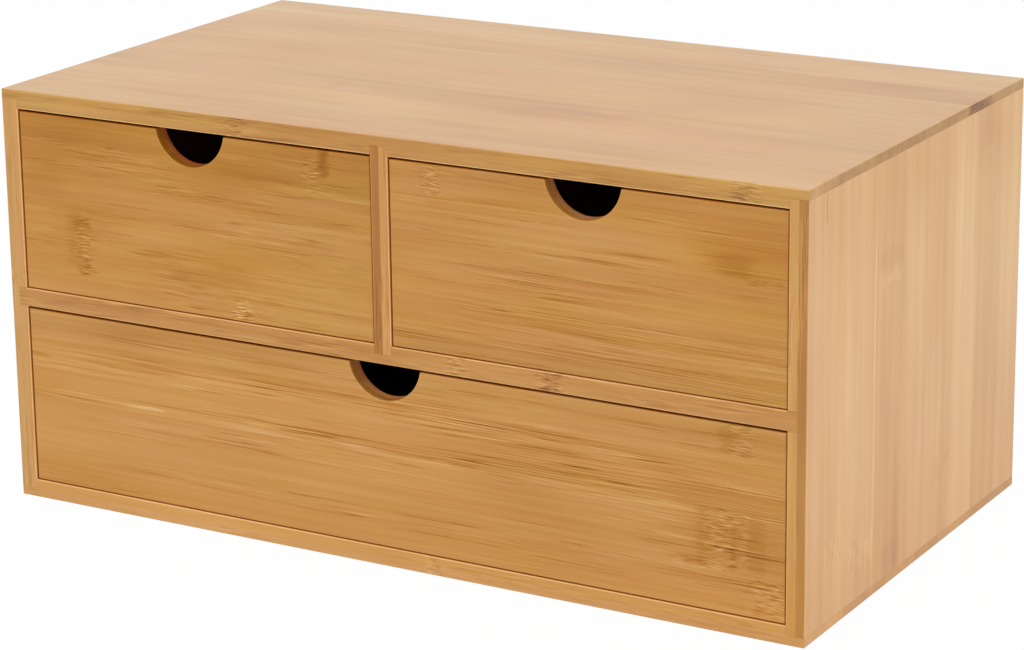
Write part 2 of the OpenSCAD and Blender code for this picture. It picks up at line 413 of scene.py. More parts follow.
band = fibre_noise(place, "band")
clouds = times(fibre_noise(given["Fibre place"], "cloud"), cloud_share)
give("Bands", times_plus(band, band_share, clouds))
apart = combine(times(given["Seed"], boards_apart))
own_place = vector_maths("ADD", given["Board"], apart)
give("Shade", fibre_noise(own_place, "shade"))
print("group:", fibres_group.name)

# %% [markdown]
# ## Knuckles and other marks
# A knuckle crosses one strip only, because the strips were cut from different stalks. It is
# a small patch with a ragged border whose middle is full of short torn fibres, light
# against dark, with a browner side. The torn fibres and the ragged borders are drawn once
# for a whole board, and each mark then shows them in its own patch. Marks are listed one
# by one and chained: every one adds its shade to what came before. The same group, left
# without torn fibres, also makes a paler or darker strip, a stain or a single line.

# %% Torn fibres
border_bite, border_wave, torn_crook = 8.0, 1.6, 2.2
torn_pale, pale_from, pale_full = 0.62, 0.03, 0.18
torn_dark, dark_full, dark_from = 0.55, -0.18, -0.04

# Short crooked fibres, light and dark, and a board place whose borders are ragged.
outputs = {"Ragged x": FLOAT, "Ragged y": FLOAT, "Torn fibres": FLOAT}
torn_group, given = new_group("bamboo_torn_fibres", {"Board": (0, 0, 0)}, outputs)
board = given["Board"]
part = separate(board)
ragged = fibre_noise(board, "ragged", detail=2.0)
give("Ragged x", times_plus(ragged, border_bite, part["X"]))
wavy = fibre_noise(board, "wavy")
give("Ragged y", times_plus(wavy, border_wave, part["Y"]))
crooked = times(fibre_noise(board, "crooked"), torn_crook)
warp = combine(y=crooked)
torn = fibre_noise(vector_maths("ADD", board, warp), "torn")
pale = fade(torn, pale_from, pale_full, 0.0, torn_pale)
dark = fade(torn, dark_full, dark_from, torn_dark, 0.0)
give("Torn fibres", minus(pale, dark))
print("group:", torn_group.name)

# %% One mark
strip_rim = 1.05
patch_core, patch_rim = 0.4, 1.2
brown_core, brown_rim = 0.2, 1.1

# Adds one mark to a board: how much of the torn fibres it shows, and how brown it is.
inputs = {"Ragged x": 0.0, "Ragged y": 0.0, "x": 0.0, "y": 0.0, "Half long": 6.0,
          "Half wide": 11.0, "Torn": 0.3, "Brown": 0.1, "Brown side": 0.0, "Softness": 0.15,
          "Torn before": 0.0, "Shade before": 0.0}
mark_group, given = new_group("bamboo_mark", inputs, {"Torn": FLOAT, "Shade": FLOAT})
along = minus(given["Ragged x"], given["x"])
along = maths("DIVIDE", along, given["Half long"])
across = minus(given["Ragged y"], given["y"])
across = maths("DIVIDE", across, given["Half wide"])
inner = minus(strip_rim, given["Softness"])
in_strip = fade(maths("ABSOLUTE", across), inner, strip_rim, 1.0, 0.0)
in_patch = fade(maths("ABSOLUTE", along), patch_core, patch_rim, 1.0, 0.0)
torn = times(given["Torn"], in_patch)
give("Torn", times_plus(torn, in_strip, given["Torn before"]))
from_brown = maths("ABSOLUTE", minus(along, given["Brown side"]))
in_brown = fade(from_brown, brown_core, brown_rim, 1.0, 0.0)
brown = times(times(given["Brown"], in_brown), in_strip)
give("Shade", minus(given["Shade before"], brown))
print("group:", mark_group.name)

# %% [markdown]
# ## Kinds of mark
# Every mark has a place and half sizes in millimetres from the middle of its board, and a
# strength. A short function for each kind keeps the lists of marks easy to read. The lists
# also say where the fine fibres are busier and where the honey is paler, since both are
# soft patches like any stain. ALL is a half size that reaches over the whole board.

# %% Kinds of mark
ALL = 1000.0
strip_soft, vein_soft, cloud_soft, drift_soft = 0.06, 0.8, 0.9, 0.95
vein_torn = 0.12


def knuckle(x, y, half_long, half_wide, torn=0.3, brown=0.0, side=0.0, soft=0.15):
    """A mark of torn fibres; its browner side is at -1 to 1 of its half length."""
    return {"x": x, "y": y, "Half long": half_long, "Half wide": half_wide, "Torn": torn,
            "Brown": brown, "Brown side": side, "Softness": soft}


def stain_and_painted_light(x, y, half_long, half_wide, brown, soft=0.3):
    """A browner place without torn fibres, or a paler one when brown is below zero. It makes stains
    in the wood, and also the painted shade on the rims of the fronts and the painted light and
    shade on the side of the case.
    """
    return knuckle(x, y, half_long, half_wide, 0.0, brown, 0.0, soft)


def cloud(x, y, half_long, half_wide, brown):
    """A large patch, browner or paler, that fades out slowly."""
    return stain_and_painted_light(x, y, half_long, half_wide, brown, cloud_soft)


def vein(x, y, half_long, dark=0.13, half_wide=0.3):
    """A fine dark line with a few torn fibres, or a pale one when dark is below zero."""
    return knuckle(x, y, half_long, half_wide, vein_torn, dark, 0.0, vein_soft)


def strip(y, half_wide, brown):
    """A whole strip that is a little browner or paler than its neighbours."""
    return stain_and_painted_light(0, y, ALL, half_wide, brown, strip_soft)


def busy(x, y, half_long, half_wide, more):
    """A place where the fine fibres show more."""
    return cloud(x, y, half_long, half_wide, -more)


def drift(x, y, half_long, half_wide, paler):
    """A large soft patch where the honey is paler, or more orange when paler is below zero."""
    return stain_and_painted_light(x, y, half_long, half_wide, -paler, drift_soft)


def each(kind, *rows):
    """One mark of a kind for each row of its numbers."""
    return [kind(*row) for row in rows]


def chain_marks(board, marks):
    """Draws every mark of a list on a board, and returns the shade that they add up to."""
    torn = use_group(torn_group, {"Board": board})
    borders = {name: torn[name] for name in ("Ragged x", "Ragged y")}
    before = {"Torn": 0.0, "Shade": 0.0}
    for mark in marks:
        so_far = {"Torn before": before["Torn"], "Shade before": before["Shade"]}
        before = use_group(mark_group, {**borders, **so_far, **mark})
    return times_plus(torn["Torn fibres"], before["Torn"], before["Shade"])


chance_knuckle = knuckle(0.0, 0.0, 6.0, 10000.0, torn=0.3, brown=0.12, side=-0.6)
print("a knuckle is", 2 * chance_knuckle["Half long"], "mm long")

# %% [markdown]
# ## Which face is it
# The same wood looks different on a board's broad face, on its long edge, on its sawn end
# and on its eased corners. The surface normal tells them apart. It lies along the grain on
# an end, across the board on an edge, and between two directions on an eased corner, where
# the sanding has left the wood paler and drier, and where the colour also carries a painted
# highlight.

# %% Faces
flat_from, flat_full = 0.90, 0.995
corner_from, corner_full = 0.08, 0.30
turned_from, turned_full = 0.6, 0.8

# Masks for the sawn ends, the long edges, the broad faces and the eased corners of a board.
inputs = {"Normal": (0, 0, 1), "Grain": (1, 0, 0), "Across": (0, 1, 0)}
outputs = {"End": FLOAT, "Edge": FLOAT, "Face": FLOAT, "Corner": FLOAT}
faces_group, given = new_group("board_faces", inputs, outputs)


def facing(direction):
    """1 where the surface faces a direction or its opposite, and 0 where it lies along it."""
    return maths("ABSOLUTE", vector_maths("DOT_PRODUCT", given["Normal"], direction))


on_end, on_edge = facing(given["Grain"]), facing(given["Across"])
on_face = facing(vector_maths("CROSS_PRODUCT", given["Grain"], given["Across"]))
leaving = fade(on_face, flat_from, flat_full, 1.0, 0.0)
give("Face", minus(1.0, leaving))
give("End", fade(on_end, turned_from, turned_full))
give("Edge", fade(on_edge, turned_from, turned_full))
give("Corner", times(leaving, fade(on_face, corner_from, corner_full)))
print("group:", faces_group.name)

# %% [markdown]
# ## Tone
# All of the layers only say how light or dark the wood is at a point. They are added up as
# one tone, each with its own strength. A sawn edge shows the two plies of the board side
# by side, and a sawn end shows the pores of the cut fibres and hardly any streaks.

# %% Tone of a board
glue_shade, pore_shade = -0.10, -0.05
streaks_lost_on_end = -0.8
ply_joint = 0.25
pore_core, pore_rim = 0.18, 0.42


def draw_tone(given, faces, strips, fibres, sawn, marks):
    """How light or dark a board is, and which of its two plies a point lies in."""
    tone = mix("FLOAT", sawn, given["Face tone"], given["Edge tone"])
    tone = times_plus(strips["Tone"], given["Strip contrast"], tone)
    streaks = mix("FLOAT", sawn, given["Streak contrast"], given["Edge streaks"])
    on_end = times_plus(faces["End"], streaks_lost_on_end, 1.0)
    streaks = times(streaks, on_end)
    layers = [(fibres["Streaks"], streaks), (fibres["Bands"], given["Band contrast"]),
              (fibres["Shade"], given["Shade contrast"]), (strips["Glue line"], glue_shade)]
    for layer, contrast in layers:
        tone = times_plus(layer, contrast, tone)
    tone = maths("ADD", tone, marks)

    upper_ply = fade(separate(given["Board"])["Z"], -ply_joint, ply_joint)
    ply = times(minus(upper_ply, 0.5), given["Ply contrast"])
    tone = times_plus(ply, faces["Edge"], tone)
    pores = {"Vector": stretched(given["Board"], "pore"), "Scale": 1.0}
    pores = add_node("ShaderNodeTexVoronoi", pores).outputs["Distance"]
    pores = fade(pores, pore_core, pore_rim, pore_shade, 0.0)
    tone = times_plus(maths("ADD", pores, given["End marks"]), faces["End"], tone)
    # Eased corners are made paler: partly sanded wood and partly a painted highlight, more so where
    # they look into the case.
    wear = times_plus(given["Inside"], given["Inner wear and highlight"], given["Corner wear and highlight"])
    return times_plus(faces["Corner"], wear, tone), upper_ply


print("streaks that a sawn end keeps:", round(1 + streaks_lost_on_end, 2))

# %% [markdown]
# ## From tone to colour
# One ramp turns the tone into colour: the dark end is a red brown, the middle is the honey
# of the steamed and lacquered bamboo, and the light end is straw. Real boards are never of
# one hue, so tints follow. Each ply of a sawn edge has its own, a sawn end is dry and
# greyer, a worn corner is paler from sanding and from a painted highlight, the faces at
# the mouth of a gap are tinted darker orange as painted shade, and a slow noise lets the
# honey drift towards straw or green along the strips.

# %% Colour of a board
HONEY_RAMP = [(0.0, (0.09, 0.016, 0.001, 1)), (0.25, (0.32, 0.116, 0.0125, 1)),
              (0.4, (0.44, 0.193, 0.0355, 1)), (0.5, (0.52, 0.252, 0.063, 1)),
              (0.6, (0.575, 0.300, 0.090, 1)), (0.75, (0.655, 0.385, 0.150, 1)),
              (1.0, (0.80, 0.560, 0.300, 1))]
untinted = (1.0, 1.0, 1.0)
dry_honey, dry_lift, dry_where_marked = (0.405, 0.203, 0.072), 2.2, 1.8
worn_and_highlight_tint, mouth_painted_shade = (1.0, 0.94, 0.80), (1.0, 0.60, 0.22)
mouth_outer, mouth_inner = -93.0, -88.0


def tint_where(colour, mask, tint, elsewhere=untinted):
    """Multiplies a colour by a tint where the mask is 1, and by another where it is 0."""
    return vector_maths("MULTIPLY", colour, mix("VECTOR", mask, elsewhere, tint))


def honey(tone):
    """The ramp from tone to colour."""
    ramp = add_node("ShaderNodeValToRGB", {"Fac": tone})
    stops = ramp.color_ramp.elements
    while len(stops) < len(HONEY_RAMP):
        stops.new(0.5)
    for stop, (position, colour) in zip(stops, HONEY_RAMP):
        stop.position = position
        stop.color = colour
    return ramp.outputs["Color"]


def draw_colour(given, faces, sawn, tone, upper_ply):
    """The colour of a board: dry ends, plies, worn corners with a painted highlight, and painted
    shade at the mouths of its gaps.
    """
    colour = honey(tone)
    dry = times_plus(given["End marks"], dry_where_marked, given["Dry ends"])
    dry_end = times(faces["End"], maths("MAXIMUM", dry, 0.0))
    dry_tone = times(tone, dry_lift)
    dry_wood = vector_maths("MULTIPLY", dry_honey, combine(dry_tone, dry_tone, dry_tone))
    colour = mix("RGBA", dry_end, colour, dry_wood)
    ply_tint = mix("VECTOR", upper_ply, given["Ply tint"], given["Edge tint"])
    lacquered = minus(sawn, dry_end)
    colour = tint_where(colour, lacquered, ply_tint, given["Tint"])
    # Corners that look into the case get a paler tint: sanded wood with a painted highlight.
    worn_and_lit = times(faces["Corner"], given["Inside"])
    colour = tint_where(colour, worn_and_lit, worn_and_highlight_tint)
    # Faces just inside the front of the case are tinted darker orange: painted shade in the gaps
    # round the drawer fronts.
    mouth = fade(separate(given["Board"])["Y"], mouth_outer, mouth_inner, 1.0, 0.0)
    mouth = times(mouth, times(faces["Face"], given["Inside"]))
    return tint_where(colour, mouth, mouth_painted_shade)


print("stops of the honey ramp:", len(HONEY_RAMP))

# %% Drift of hue
pale_green, pale_blue = 0.10, 0.44
green_green, green_blue = 0.17, -0.20
paleness_blue = 3.0


def drift_hue(given, strips, colour):
    """Lets a colour wander along the strips, and makes it paler where a drift asks for it."""
    hue = {"Vector": stretched(strips["Fibre place"], "hue"), "Scale": 1.0, "Detail": 2.0,
           "Roughness": 0.6}
    hue = add_node("ShaderNodeTexNoise", hue).outputs["Color"]
    hue = separate(vector_maths("SUBTRACT", hue, (0.5, 0.5, 0.5)))
    paler = times(hue["X"], given["Hue contrast"])
    greener = times(hue["Y"], given["Hue contrast"])
    green = times_plus(greener, green_green, given["Paleness"])
    green = times_plus(paler, pale_green, green)
    blue = times(given["Paleness"], paleness_blue)
    blue = times_plus(greener, green_blue, blue)
    blue = times_plus(paler, pale_blue, blue)
    change = combine(1.0, maths("ADD", green, 1.0), maths("ADD", blue, 1.0))
    return vector_maths("MULTIPLY", colour, change)


print("a paler place gains", paleness_blue, "times as much blue as green")

# %% [markdown]
# ## The whole wood
# The board group wires the parts together, and adds how rough and how high the surface is.
# Only the outside was lacquered. Inside the case, on sawn wood and along the hair-fine
# fibres the surface is rougher, and a glue line lies a hair deeper.

# %% Board wood
face_rough = 0.40
hair_rough, corner_rough, sawn_rough, inner_rough = 0.18, 0.10, 0.25, 0.50
hair_height, glue_height, mark_height = 0.6, -0.8, 0.8
BOARD_INPUTS = {
    "Board": (0, 0, 0), "Normal": (0, 0, 1), "Grain": (1, 0, 0), "Across": (0, 1, 0),
    "Strip width": 22.0, "Strip shift": 0.0, "Seed": 0.0, "Slope": 0.0, "Fibre length": 1.0,
    "Face tone": 0.5, "Edge tone": 0.45, "Strip contrast": 0.1, "Line contrast": 0.1,
    "Streak contrast": 0.6, "Edge streaks": 0.6, "Band contrast": 0.4, "Shade contrast": 0.15,
    "Ply contrast": 0.0, "Tint": (1, 1, 1), "Edge tint": (1, 1, 1), "Ply tint": (1, 1, 1),
    "Dry ends": 0.62, "Corner wear and highlight": 0.05, "Inside": 0.0, "Inner wear and highlight": 0.3, "Coat": 0.35,
    "Chance knuckles": 0.0, "Hue contrast": 0.5, "Clusters": 1.0, "Busy": 0.0, "Marks": 0.0,
    "End marks": 0.0, "Paleness": 0.0}

# Puts strips, fibres, marks, plies and end grain together into one wood.
outputs = {"Colour": COLOUR, "Roughness": FLOAT, "Coat": FLOAT, "Height": FLOAT}
board_group, given = new_group("bamboo_board", BOARD_INPUTS, outputs)


def pick(*names):
    """The board's inputs of these names."""
    return {name: given[name] for name in names}


strips = use_group(strips_group, pick("Board", "Strip width", "Strip shift", "Seed"))
faces = use_group(faces_group, pick("Normal", "Grain", "Across"))
length = mix("FLOAT", faces["Edge"], given["Fibre length"], 1.0)
fibres = {**pick("Board", "Seed", "Slope", "Line contrast", "Clusters", "Busy"),
          "Fibre place": strips["Fibre place"], "Fibre length": length}
fibres = use_group(fibres_group, fibres)
chance = chain_marks(strips["Knuckle place"], [chance_knuckle])
marks = times_plus(chance, given["Chance knuckles"], given["Marks"])
sawn = maths("MAXIMUM", faces["Edge"], faces["End"])
tone, upper_ply = draw_tone(given, faces, strips, fibres, sawn, marks)
colour = draw_colour(given, faces, sawn, tone, upper_ply)
give("Colour", drift_hue(given, strips, colour))

inner_face = times(given["Inside"], faces["Face"])
rough = face_rough
for mask, more in ((fibres["Hair"], hair_rough), (faces["Corner"], corner_rough),
                   (sawn, sawn_rough), (inner_face, inner_rough)):
    rough = times_plus(mask, more, rough)
give("Roughness", rough)
lacquered = minus(1.0, inner_face)
give("Coat", times(given["Coat"], lacquered))
height = times(fibres["Hair"], hair_height)
height = times_plus(strips["Glue line"], glue_height, height)
give("Height", times_plus(marks, mark_height, height))
print("group:", board_group.name)

# %% [markdown]
# ## One material for each board
# Every board was cut from another sheet, so each gets a material of its own. `bamboo`
# reads the board's box from the frame, turns the pattern so that its x runs along the
# grain, and centres it on the board. Only a few numbers are then left to choose.

# %% Material for a board
AXES = {"X": Vector((1, 0, 0)), "Y": Vector((0, 1, 0)), "Z": Vector((0, 0, 1))}
relief = 0.03 * mm
lacquer_ior, coat_roughness = 1.5, 0.3
inside_starts, inside_full = 0.0, 2.0


def bamboo(node_name, grain, across, seed, inside=None, choices=None, chains=None, shine=0.5):
    """A bamboo material for one board, with its grain and its width along the named axes.

    inside is 1 or -1 when only the board's upper or lower half looks into the case, and
    "both" when it stands wholly inside.
    """
    material = bpy.data.materials.new(node_name + "_bamboo")
    start_nodes(material)
    along_axis, across_axis = AXES[grain], AXES[across]
    turn = Matrix((along_axis, across_axis, along_axis.cross(across_axis)))
    low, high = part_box(node_name)
    seat = turn @ (low + high) / 2 / mm
    place = add_node("ShaderNodeTexCoord").outputs
    inputs = {"Vector": place["Object"], "Location": -seat, "Rotation": turn.to_euler(),
              "Scale": (1 / mm,) * 3}
    board = add_node("ShaderNodeMapping", inputs).outputs[0]
    inner = 1.0 if inside == "both" else 0.0
    if inside in (-1, 1):
        inwards = times(separate(board)["Z"], inside)
        inner = fade(inwards, inside_starts, inside_full)
    settings = {"Board": board, "Normal": place["Normal"], "Grain": along_axis,
                "Across": across_axis, "Seed": seed, "Inside": inner}
    drawn = {name: chain_marks(board, marks) for name, marks in (chains or {}).items()}
    wood = use_group(board_group, {**settings, **drawn, **(choices or {})})
    bump = {"Height": wood["Height"], "Distance": relief, "Strength": 1.0}
    bump = add_node("ShaderNodeBump", bump).outputs[0]
    lacquer = {"Base Color": wood["Colour"], "Roughness": wood["Roughness"], "Normal": bump,
               "IOR": lacquer_ior, "Specular IOR Level": shine, "Coat Weight": wood["Coat"],
               "Coat Roughness": coat_roughness}
    lacquer = add_node("ShaderNodeBsdfPrincipled", lacquer).outputs[0]
    add_node("ShaderNodeOutputMaterial", {"Surface": lacquer})
    return material


def dress(node_name, material):
    """Gives a CAD board its wood."""
    for slot in boards[node_name].material_slots:
        slot.material = material


print("relief of the fibres:", relief / mm, "mm")

# %% [markdown]
# ## Drawer fronts
# A front is a seven millimetre board with a rabbet at each end for the drawer's sides, a
# groove for its bottom and a round finger notch in its top edge. It could be cut out of a
# block with Boolean modifiers, but those leave untidy faces along the notch. Here the
# outline is drawn once, split where the joints begin, and pulled back in three steps, and
# each step leaves out what the router takes away: first the ends, then the groove. A fine
# bevel then eases the edges that a hand touches.

# %% Outline of a front
notch_radius, notch_rise = 15.8 * mm, 2.4 * mm
notch_steps = 56


def front_outline(low, high, top_z):
    """A flat face in the shape of a front, with its finger notch, on the plane y = low.y."""
    shape = bmesh.new()
    centre = Vector(((low.x + high.x) / 2, low.y, top_z + notch_rise))
    half_angle = math.acos(notch_rise / notch_radius)
    start = centre + Vector((-notch_radius * math.sin(half_angle), 0, -notch_rise))
    first = shape.verts.new(start)
    bmesh.ops.spin(shape, geom=[first], cent=centre, axis=(0, -1, 0), angle=2 * half_angle,
                   steps=notch_steps, use_merge=False, use_duplicate=False)
    shape.verts.ensure_lookup_table()
    last = shape.verts[-1]
    corners = [(high.x, top_z), (high.x, low.z), (low.x, low.z), (low.x, top_z)]
    chain = [last] + [shape.verts.new((x, low.y, z)) for x, z in corners] + [first]
    for one, other in zip(chain, chain[1:]):
        shape.edges.new((one, other))
    bmesh.ops.contextual_create(shape, geom=shape.edges[:])
    return shape


print("notch:", round(2 * notch_radius / mm, 1), "mm across")

# %% Splitting and pulling back
touching = 1e-6


def split(shape, place, direction):
    """Cuts every face along a plane."""
    geometry = shape.verts[:] + shape.edges[:] + shape.faces[:]
    bmesh.ops.bisect_plane(shape, geom=geometry, plane_co=place, plane_no=direction,
                           dist=touching / 10)


def pull_back(shape, faces, depth):
    """Extrudes faces straight back by depth, and returns their new places."""
    edges = list(dict.fromkeys(edge for face in faces for edge in face.edges))
    made = bmesh.ops.extrude_face_region(shape, geom=faces + edges)["geom"]
    points = [part for part in made if isinstance(part, bmesh.types.BMVert)]
    bmesh.ops.translate(shape, verts=points, vec=(0, depth, 0))
    return [part for part in made if isinstance(part, bmesh.types.BMFace)]


print("points closer than", touching / mm, "mm count as touching")

# %% Board of a front
side_thickness, glue_line = 6.0 * mm, 0.05 * mm
rabbet_depth, groove_depth = 3.5 * mm, 3.0 * mm
groove_low, groove_width = 2.6 * mm, 3.2 * mm
front_ease, ease_steps = 0.5 * mm, 3
sharp_corner = math.radians(60)


def front_board(node_name):
    """A drawer front with its rabbets, its groove and its eased finger notch."""
    low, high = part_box(node_name)
    shape = front_outline(low, high, high.z)
    shoulders = (low.x + side_thickness + glue_line, high.x - side_thickness - glue_line)
    groove = (low.z + groove_low, low.z + groove_low + groove_width)
    for x in shoulders:
        split(shape, (x, 0, 0), (1, 0, 0))
    for z in groove:
        split(shape, (0, 0, z), (0, 0, 1))
    thickness = high.y - low.y
    back = pull_back(shape, shape.faces[:], thickness - rabbet_depth)
    between = [face for face in back
               if shoulders[0] < face.calc_center_median().x < shoulders[1]]
    back = pull_back(shape, between, rabbet_depth - groove_depth)
    beside_groove = [face for face in back
                     if not groove[0] < face.calc_center_median().z < groove[1]]
    pull_back(shape, beside_groove, groove_depth)
    bmesh.ops.recalc_face_normals(shape, faces=shape.faces[:])

    def touched(edge):
        """An edge of the front face, or one along the back of the notch."""
        one, other = (vertex.co for vertex in edge.verts)
        sharp = edge.calc_face_angle(0.0) > sharp_corner
        on_front = max(one.y, other.y) < low.y + touching
        centre = Vector(((low.x + high.x) / 2, one.y, high.z + notch_rise))
        on_notch = all(abs((point - centre).length - notch_radius) < 10 * touching
                       for point in (one, other))
        return sharp and (on_front or (on_notch and abs(one.y - other.y) < touching))

    bmesh.ops.bevel(shape, geom=[edge for edge in shape.edges if touched(edge)], offset=front_ease,
                    offset_type="OFFSET", affect="EDGES", segments=ease_steps, profile=0.5,
                    material=-1, clamp_overlap=True)
    return shape


def add_piece(name, shape, body, node_name, material):
    """Makes a shape an object that rides on a body and stands for a CAD board."""
    data = bpy.data.meshes.new(name)
    shape.to_mesh(data)
    shape.free()
    data.materials.append(material)
    piece = new_object(name, data)
    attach(piece, body)
    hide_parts(node_name)
    return piece


print("front edges eased by", front_ease / mm, "mm")

# %% [markdown]
# ## Wood of the fronts
# The fronts are the liveliest boards of the case: deep honey with many fine fibres, a
# knuckle or two, and browner edges. Their top and bottom rims and their sawn edges carry
# painted light and shade for the thin gaps round each front. Each front has its own seed,
# tones and lists: marks, soft drifts of hue, and places where the fibres are busy.
# The matt lacquer has no coat, only a weak shine.

# %% Woods of the small fronts
front_wood = {"Streak contrast": 0.6, "Edge streaks": 0.5, "Line contrast": 0.22,
              "Band contrast": 0.24, "Shade contrast": 0.1, "Strip contrast": 0.02,
              "Edge tone": 0.34, "Corner wear and highlight": 0.08, "Dry ends": 0, "Coat": 0, "Hue contrast": 1.3,
              "Clusters": 0.45}
front_shine = 0.15
# The top and bottom rims of each front get a darker orange tint: painted shade for the gaps above
# and below it.
rim_painted_shade = [stain_and_painted_light(0, 37, ALL, 1.1, 0.24, 0.1), stain_and_painted_light(0, -37, ALL, 1.1, 0.24, 0.1)]
# Each front's Edge tint and Ply tint colour its sawn edges, which at rest show only in the thin
# gaps round it; they are set to the colour of those shaded gaps, so they are partly painted light
# and shade.
left_front = {
    "seed": 3,
    "choices": {"Face tone": 0.465, "Strip shift": -4.6, "Slope": 0.01, "Band contrast": 0.29,
                "Shade contrast": 0.2, "Tint": (1, 1.025, 1), "Edge tint": (1.02, 0.96, 0.56),
                "Ply tint": (1.5, 1.2, 2)},
    "Marks": [
        *each(cloud, (0, 29, ALL, 12, 0.045), (0, -33, ALL, 9, -0.045), (55, -12, 45, 22, -0.04),
              (0, -6, 45, 9, -0.035), (-72, 10, 16, 14, 0.05), (-48, -6, 22, 9, 0.035)),
        knuckle(-52, -15.6, 5, 12, 0.34, 0.04), stain_and_painted_light(-57, -13, 5, 12, 0.06),
        stain_and_painted_light(61, 33, 3.5, 8, 0.13), knuckle(55, 26, 4.5, 7, 0.22, 0),
        knuckle(22.6, -31.6, 5, 4.5, 0.5, -0.05), stain_and_painted_light(-7, -22.2, 6, 1.3, 0.06),
        stain_and_painted_light(-53, -6, 5, 2.5, 0.06), stain_and_painted_light(-52, -25, 5, 2, 0.07),
        *each(vein, (-60, 16.5, 14, 0.1), (-44, 20.2, 22, 0.1), (-50, 22.4, 20, 0.08),
              (-5, 11, 45, 0.1), (34, 8.8, 20, 0.1), (36, 5.6, 20, 0.11), (-30, 3.2, 18, 0.08),
              (36, -5.2, 18, 0.1), (30, -2.6, 30, -0.08), (-34, -8.4, 14, 0.09),
              (-2, -19.6, 14, 0.1), (40, -17.6, 40, 0.08), (-17, -29.2, 13, 0.09),
              (-14, -28.2, 12, -0.08))],
    "Paleness": [drift(70, 0, 45, ALL, 0.045), drift(50, 6, 40, 16, 0.03),
                 drift(-60, 0, 30, 40, -0.02)],
    "Busy": each(busy, (-35, 20, 28, 9, 0.8), (10, -30, 40, 7, 0.5), (25, -2, 50, 9, 0.65),
                 (5, 9, 45, 9, 0.3), (0, -22, 50, 6, 0.3), (-10, 1, 14, 5, 0.5))}
right_front = {
    "seed": 8,
    "choices": {"Face tone": 0.495, "Strip shift": 1.4, "Slope": 0.012, "Fibre length": 2.2,
                "Line contrast": 0.23, "Tint": (1, 1.03, 1.1), "Edge tint": (1.3, 1.45, 1.9),
                "Ply tint": (1.6, 1.85, 4.4)},
    "Marks": [
        *each(cloud, (72, 16, 34, 18, 0.07), (0, 31, ALL, 10, 0.05), (-60, 14, 40, 12, 0.04),
              (64, -14, 34, 14, 0.04)),
        stain_and_painted_light(0, -33, ALL, 6, 0.035, 0.7), knuckle(-63.6, 30.5, 5, 6, 0.34, 0.03),
        stain_and_painted_light(60, 13.5, 12, 4.5, 0.08), knuckle(72, 8.6, 14, 1.6, 0.12, 0.05),
        *each(vein, (52, 16.2, 10, 0.09), (-34, 8, 28), (14, 7.8, 26, 0.09), (-2, 0, 52, 0.14),
              (28, 2, 16, 0.1), (0, -6.6, 42, 0.09), (2, -14.5, 46), (-4, -20.2, 32, 0.15),
              (52, -18.4, 30, 0.15), (20, -27.6, 60, 0.12, 0.6), (-42, 17, 16, 0.1),
              (-18, 19.6, 20, 0.08), (-34, -34.6, 30), (50, -21.4, 34, -0.1),
              (-12, -4.6, 40, 0.07))],
    "Paleness": each(drift, (-15, 8, 60, 15, 0.03), (-45, -18, 70, 14, -0.03),
                     (72, 20, 36, 22, -0.05), (0, -34, ALL, 7, 0.04)),
    "Busy": each(busy, (5, -17, 80, 8, 1.2), (20, -29, 110, 9, 1), (0, -5, 55, 7, 1),
                 (5, 9, 45, 6, 0.6), (-60, -27, 40, 7, 0.6), (65, -20, 30, 10, 0.6))}
print("marks:", len(left_front["Marks"]), "and", len(right_front["Marks"]))

# %% Wood of the wide front
wide_front = {
    "seed": 5,
    "choices": {"Face tone": 0.55, "Strip shift": 0.2, "Fibre length": 2.2, "Line contrast": 0.25,
                "Streak contrast": 0.7, "Band contrast": 0.32, "Tint": (1, 1.005, 1.03),
                "Hue contrast": 0.75, "Edge tint": (1.1, 1.1, 1.2), "Ply tint": (1.55, 1.5, 2.7)},
    "Marks": [
        *each(cloud, (0, 31, ALL, 9, 0.06), (150, -4, 50, 28, 0.06), (75, -14, 40, 24, 0.035),
              (-110, 12, 70, 12, -0.03)),
        stain_and_painted_light(144, 30, 5, 6, 0.07), knuckle(149.5, 30, 6, 6, 0.28, 0.02),
        stain_and_painted_light(134, -8.5, 4, 12, 0.06), knuckle(143.5, -8.5, 10, 12, 0.34, 0.03, 0.5),
        stain_and_painted_light(156, -8.5, 5, 12, 0.05), knuckle(130, -18.7, 10, 2, 0.2, 0.03),
        knuckle(160.5, -28, 9, 7, 0.3, 0), stain_and_painted_light(130, -17.4, 12, 1.8, 0.07),
        *each(vein, (-92, 19.4, 36, 0.16), (-115, 17.2, 20, 0.18), (-84, 4.6, 46, 0.18),
              (-32, 5.6, 44, 0.18), (-112, 2.4, 11, -0.22, 0.9), (-67, -4.6, 20, 0.2),
              (-30, -21.6, 24, 0.2), (80, 20.6, 26, 0.2), (30, 17.6, 36, 0.18), (48, 7.4, 46, 0.2),
              (24, 2.4, 24, 0.16, 0.9), (98, 4, 14, 0.18), (146, 11.4, 26, 0.14),
              (30, -27.4, 34, 0.18), (86, -28.2, 28, 0.14))],
    "Paleness": each(drift, (0, 34, ALL, 13, 0.06), (0, -31, ALL, 12, -0.04),
                     (95, -4, 60, 18, 0.02)),
    "Busy": each(busy, (0, 20, 175, 7, 1), (80, 15, 95, 9, 1), (15, 3, 190, 5, 1.2),
                 (-15, -4, 80, 7, 0.7), (65, -24, 115, 6, 1.2), (-65, -24, 85, 5, 0.7),
                 (135, -6, 50, 24, 0.9), (85, 7, 45, 7, 0.6))}
print("marks:", len(wide_front["Marks"]))

# %% Fronts
for drawer, look in (("left", left_front), ("right", right_front), ("wide", wide_front)):
    name = drawer + "_drawer_front"
    chains = {"Marks": look["Marks"], "Paleness": look["Paleness"] + rim_painted_shade,
              "Busy": look["Busy"]}
    choices = {**front_wood, **look["choices"]}
    wood = bamboo(name, "X", "Z", look["seed"], None, choices, chains, front_shine)
    piece = add_piece("notched_" + name, front_board(name), drawer + "_drawer", name,
                      wood)
    print(piece.name, "has", len(piece.data.polygons), "faces")
